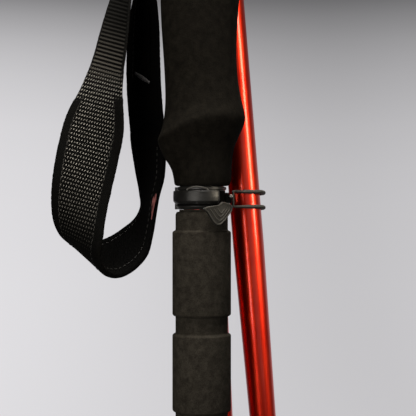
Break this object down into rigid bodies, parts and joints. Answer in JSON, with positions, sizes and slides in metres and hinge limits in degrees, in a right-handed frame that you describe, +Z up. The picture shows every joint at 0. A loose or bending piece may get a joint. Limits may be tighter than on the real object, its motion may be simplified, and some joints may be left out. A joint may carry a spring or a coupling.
{
  "type": "folding trekking pole",
  "caption": "Folding trekking pole, folded side by side, with foam grips, wrist strap, flip-lock height clamp, cord-joined sections, elastic keeper and basket.",
  "frame": {"origin": "on the handle's axis, in the middle of the upper grip, where a hand holds it", "axes": "+Z up along the handle's axis, +Y from the viewer towards the folded sections, +X towards the tip section"},
  "size_m": [0.1324, 0.0685, 0.429],
  "materials": {
    "foam": "matte mottled EVA foam",
    "strap": "ribbed webbing and mesh",
    "strap_label": "woven tape",
    "clamp_plastic": "satin moulded",
    "black_plastic": "satin moulded",
    "red_tube": "anodised aluminium, satin",
    "bare_metal": "satin",
    "steel": "bright",
    "cord": "coated cord",
    "keeper_rubber": "moulded rubber"
  },
  "bodies": {
    "grip": {"upper_grip": "foam", "head_cap": "black_plastic", "strap_pin": "steel", "inner_tube": "bare_metal", "inner_tube_plug": "black_plastic", "strap_front_webbing": "strap", "strap_pad": "strap", "strap_rear_webbing": "strap", "strap_label": "strap_label"},
    "wedge": {"strap_wedge": "black_plastic"},
    "handle": {"handle_tube": "red_tube", "handle_end_ring": "bare_metal", "lower_grip": "foam", "clamp_collar": "clamp_plastic", "clamp_lever_pin": "steel", "clamp_nut": "steel", "keeper_lug": "black_plastic", "keeper_rivet": "steel", "keeper_loop": "keeper_rubber", "keeper_tab": "keeper_rubber", "handle_cord_anchor": "black_plastic", "handle_cord": "cord", "upper_cord_bend": "cord"},
    "lever": {"clamp_lever": "clamp_plastic"},
    "screw": {"clamp_screw": "steel"},
    "upper_link": {"upper_cord": "cord", "upper_cord_stop": "black_plastic"},
    "mid": {"mid_tube": "red_tube", "mid_end_ring": "bare_metal", "mid_spigot": "bare_metal", "mid_spigot_nose": "black_plastic", "upper_tension_spring": "steel", "lock_button_spring": "steel", "mid_cord_anchor": "black_plastic", "mid_cord": "cord", "lower_cord_bend": "cord"},
    "button": {"lock_button": "steel"},
    "lower_link": {"lower_cord": "cord", "lower_cord_stop": "black_plastic"},
    "tip": {"tip_tube": "red_tube", "tip_spigot": "bare_metal", "tip_spigot_nose": "black_plastic", "lower_tension_spring": "steel", "tip_holder": "black_plastic", "carbide_tip": "steel"},
    "basket": {"basket": "black_plastic", "basket_nut": "black_plastic"}
  },
  "joints": [
    {"name": "height_adjust", "type": "slide", "parent": "grip", "child": "handle", "axis": [0, 0, -1], "range_m": [0, 0.125]},
    {"name": "strap_wedge_slide", "type": "slide", "parent": "grip", "child": "wedge", "axis": [-1, 0, 0], "range_m": [0, 0.012]},
    {"name": "clamp_lever_flip", "type": "hinge", "parent": "handle", "child": "lever", "pos_m": [-0.011, 0.0099, -0.07], "axis": [0, 0, -1], "range_deg": [0, 60]},
    {"name": "tension_screw_turn", "type": "hinge", "parent": "handle", "child": "screw", "pos_m": [0, 0.0147, -0.0704], "axis": [1, 0, 0], "continuous": true},
    {"name": "fold_upper", "type": "hinge", "parent": "handle", "child": "upper_link", "pos_m": [0.00587, 0.012, -0.27815], "axis": [-0.8978, 0.4396, -0.0266], "range_deg": [0, 179.58], "deforming": ["upper_cord_bend", "keeper_loop"]},
    {"name": "seat_upper", "type": "slide", "parent": "upper_link", "child": "mid", "axis": [0.0446, -0.03, -0.9986], "range_m": [0, 0.034], "deforming": ["upper_tension_spring"]},
    {"name": "lock_button_press", "type": "slide", "parent": "mid", "child": "button", "axis": [-0.8969, 0.439, -0.0533], "range_m": [0, 0.0025], "stiffness_N_per_m": 600, "deforming": ["lock_button_spring"]},
    {"name": "fold_lower", "type": "hinge", "parent": "mid", "child": "lower_link", "pos_m": [0.00327, 0.02923, 0.07194], "axis": [-0.5916, -0.8055, -0.0338], "range_deg": [0, 179.92], "deforming": ["lower_cord_bend"]},
    {"name": "seat_lower", "type": "slide", "parent": "lower_link", "child": "tip", "axis": [-0.083, -0.0199, 0.9964], "range_m": [0, 0.034], "deforming": ["lower_tension_spring"]},
    {"name": "basket_turn", "type": "hinge", "parent": "tip", "child": "basket", "pos_m": [0.04082, 0.03125, -0.29266], "axis": [0.083, 0.0199, -0.9964], "range_deg": [0, 90]}
  ]
}
